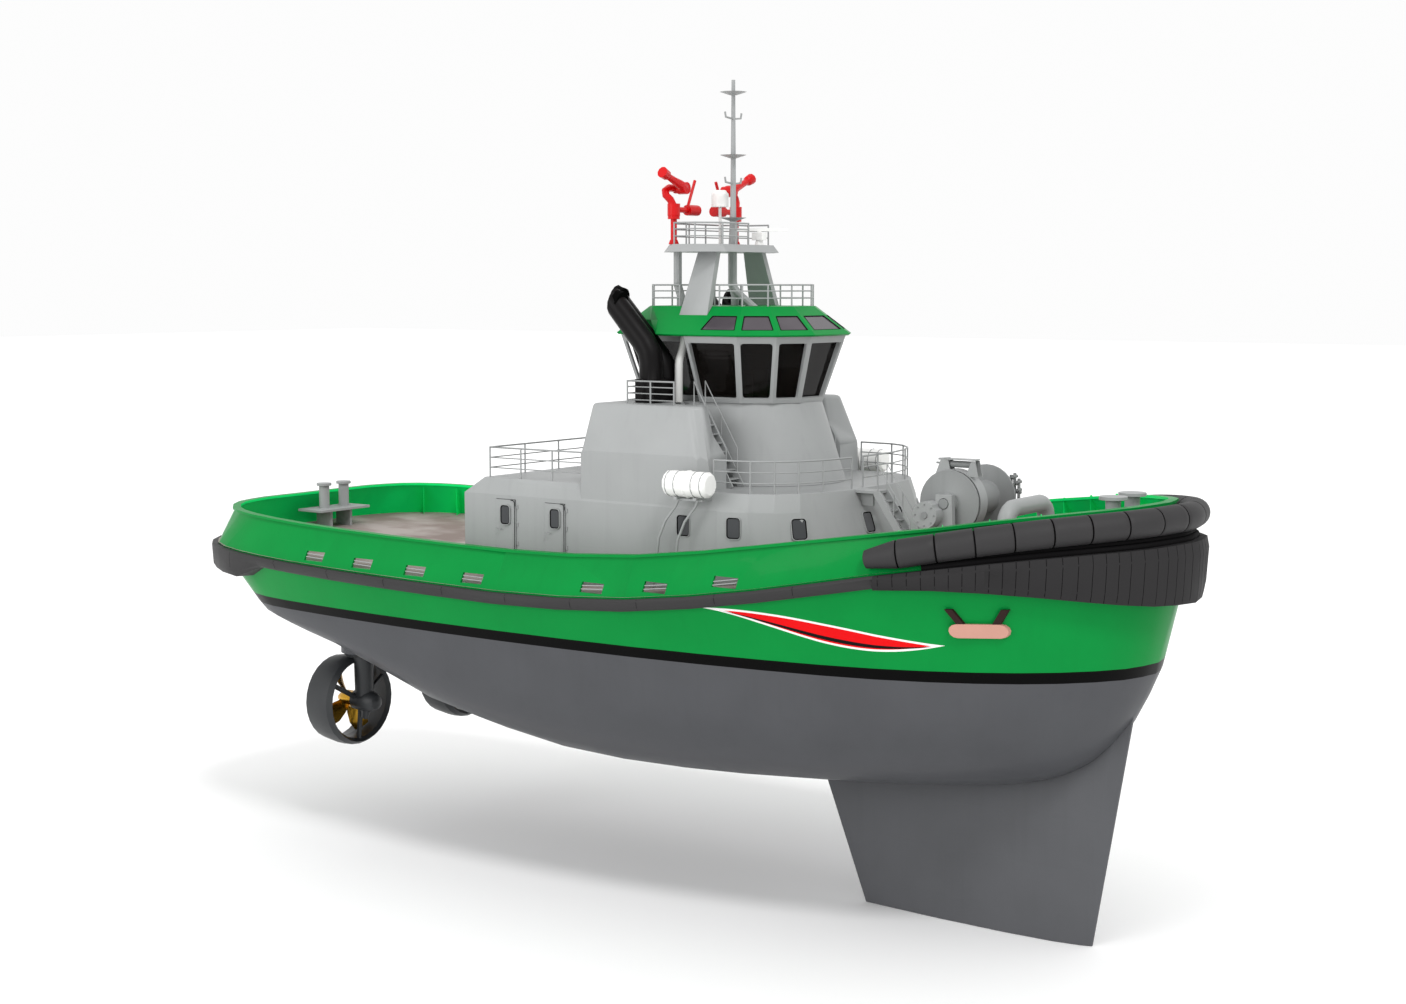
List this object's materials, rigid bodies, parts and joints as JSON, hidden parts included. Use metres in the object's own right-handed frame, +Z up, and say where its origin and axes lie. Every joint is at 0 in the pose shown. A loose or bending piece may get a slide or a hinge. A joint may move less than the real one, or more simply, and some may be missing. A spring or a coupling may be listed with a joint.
{
  "type": "harbour escort tug",
  "caption": "Broad harbour tug with a fendered bow, raked-window wheelhouse on a cone, two fire monitors, slanted exhausts, a deep skeg and steerable ducted stern thrusters.",
  "frame": {"origin": "centreline amidships at the waterline, the lower edge of the black boot-top", "axes": "+X forward, +Y to port, +Z up"},
  "size_m": [35.1675, 14.3924, 25.6],
  "materials": {
    "green_enamel": "semi-gloss",
    "grey_enamel": "semi-gloss",
    "black_rubber": "matt",
    "grey_antifouling": "matt",
    "dark_painted_steel": "satin",
    "propeller_bronze": "polished",
    "red_enamel": "gloss",
    "black_heat_paint": "satin",
    "white_glassfibre": "gloss",
    "tinted_glass": "clear",
    "dark_console_plastic": "matt",
    "pale_anchor_plate": "matt"
  },
  "bodies": {
    "vessel": {"hull": "green_enamel", "skeg": "grey_antifouling", "bulwark": "green_enamel", "side_fender": "black_rubber", "bow_block_fender": "black_rubber", "bow_roll_fender": "black_rubber", "deckhouse": "grey_enamel", "pedestal": "grey_enamel", "wheelhouse": "grey_enamel", "wheelhouse_glazing": "tinted_glass", "skylight_glazing": "tinted_glass", "wheelhouse_roof": "green_enamel", "bridge_fittings": "dark_console_plastic", "monitor_platform": "grey_enamel", "signal_mast": "grey_enamel", "satellite_dome": "white_glassfibre", "radar_base": "white_glassfibre", "aft_rail": "grey_enamel", "roof_rail_forward": "grey_enamel", "roof_rail_aft": "grey_enamel", "platform_rail": "grey_enamel", "forward_stair": "grey_enamel", "winch_frame": "grey_enamel", "towing_staple": "grey_enamel", "bow_bitts": "grey_enamel", "stern_bitts": "grey_enamel", "casing_starboard": "grey_enamel", "casing_stair_starboard": "grey_enamel", "funnel_starboard": "black_heat_paint", "vent_pipe_starboard": "white_glassfibre", "funnel_rail_starboard": "grey_enamel", "forward_rail_starboard": "grey_enamel", "monitor_riser_starboard": "red_enamel", "liferaft_starboard": "white_glassfibre", "liferaft_cradle_starboard": "grey_enamel", "anchor_starboard": "pale_anchor_plate", "casing_port": "grey_enamel", "casing_stair_port": "grey_enamel", "funnel_port": "black_heat_paint", "vent_pipe_port": "white_glassfibre", "funnel_rail_port": "grey_enamel", "forward_rail_port": "grey_enamel", "monitor_riser_port": "red_enamel", "liferaft_port": "white_glassfibre", "liferaft_cradle_port": "grey_enamel", "anchor_port": "pale_anchor_plate"},
    "winch_drum": {"winch_drum": "grey_enamel"},
    "radar_scanner": {"radar_scanner": "white_glassfibre"},
    "thruster_starboard": {"thruster_starboard": "dark_painted_steel"},
    "propeller_starboard": {"propeller_starboard": "propeller_bronze"},
    "monitor_body_starboard": {"monitor_body_starboard": "red_enamel"},
    "monitor_barrel_starboard": {"monitor_barrel_starboard": "red_enamel"},
    "door_aft_starboard": {"door_aft_starboard": "grey_enamel"},
    "door_forward_starboard": {"door_forward_starboard": "grey_enamel"},
    "thruster_port": {"thruster_port": "dark_painted_steel"},
    "propeller_port": {"propeller_port": "propeller_bronze"},
    "monitor_body_port": {"monitor_body_port": "red_enamel"},
    "monitor_barrel_port": {"monitor_barrel_port": "red_enamel"},
    "door_aft_port": {"door_aft_port": "grey_enamel"},
    "door_forward_port": {"door_forward_port": "grey_enamel"}
  },
  "joints": [
    {"name": "winch_drum_spin", "type": "hinge", "parent": "vessel", "child": "winch_drum", "pos_m": [10.1, 0, 4.6], "axis": [0, 1, 0], "continuous": true},
    {"name": "radar_scanner_spin", "type": "hinge", "parent": "vessel", "child": "radar_scanner", "pos_m": [1.95, 1.05, 12.6], "axis": [0, 0, 1], "continuous": true},
    {"name": "thruster_steer_starboard", "type": "hinge", "parent": "vessel", "child": "thruster_starboard", "pos_m": [-12, -2.88, -1.82], "axis": [0, 0, 1], "continuous": true},
    {"name": "propeller_spin_starboard", "type": "hinge", "parent": "thruster_starboard", "child": "propeller_starboard", "pos_m": [-12.75, -2.88, -3.58], "axis": [1, 0, 0], "continuous": true},
    {"name": "monitor_train_starboard", "type": "hinge", "parent": "vessel", "child": "monitor_body_starboard", "pos_m": [0.55, -1.73, 13.08], "axis": [0, 0, 1], "range_deg": [-170, 170]},
    {"name": "monitor_elevate_starboard", "type": "hinge", "parent": "monitor_body_starboard", "child": "monitor_barrel_starboard", "pos_m": [0.5003, -1.33, 13.95], "axis": [-1, 0, 0], "range_deg": [-30, 50]},
    {"name": "door_aft_swing_starboard", "type": "hinge", "parent": "vessel", "child": "door_aft_starboard", "pos_m": [-3.55, -4.63, 3.2], "axis": [0, 0, 1], "range_deg": [0, 110]},
    {"name": "door_forward_swing_starboard", "type": "hinge", "parent": "vessel", "child": "door_forward_starboard", "pos_m": [-1.55, -4.63, 3.2], "axis": [0, 0, 1], "range_deg": [0, 110]},
    {"name": "thruster_steer_port", "type": "hinge", "parent": "vessel", "child": "thruster_port", "pos_m": [-12, 2.88, -1.82], "axis": [0, 0, 1], "continuous": true},
    {"name": "propeller_spin_port", "type": "hinge", "parent": "thruster_port", "child": "propeller_port", "pos_m": [-12.75, 2.88, -3.58], "axis": [1, 0, 0], "continuous": true},
    {"name": "monitor_train_port", "type": "hinge", "parent": "vessel", "child": "monitor_body_port", "pos_m": [0.55, 1.73, 13.08], "axis": [0, 0, 1], "range_deg": [-170, 170]},
    {"name": "monitor_elevate_port", "type": "hinge", "parent": "monitor_body_port", "child": "monitor_barrel_port", "pos_m": [0.5003, 1.33, 13.95], "axis": [1, 0, 0], "range_deg": [-30, 50]},
    {"name": "door_aft_swing_port", "type": "hinge", "parent": "vessel", "child": "door_aft_port", "pos_m": [-3.55, 4.63, 3.2], "axis": [0, 0, -1], "range_deg": [0, 110]},
    {"name": "door_forward_swing_port", "type": "hinge", "parent": "vessel", "child": "door_forward_port", "pos_m": [-1.55, 4.63, 3.2], "axis": [0, 0, -1], "range_deg": [0, 110]}
  ]
}
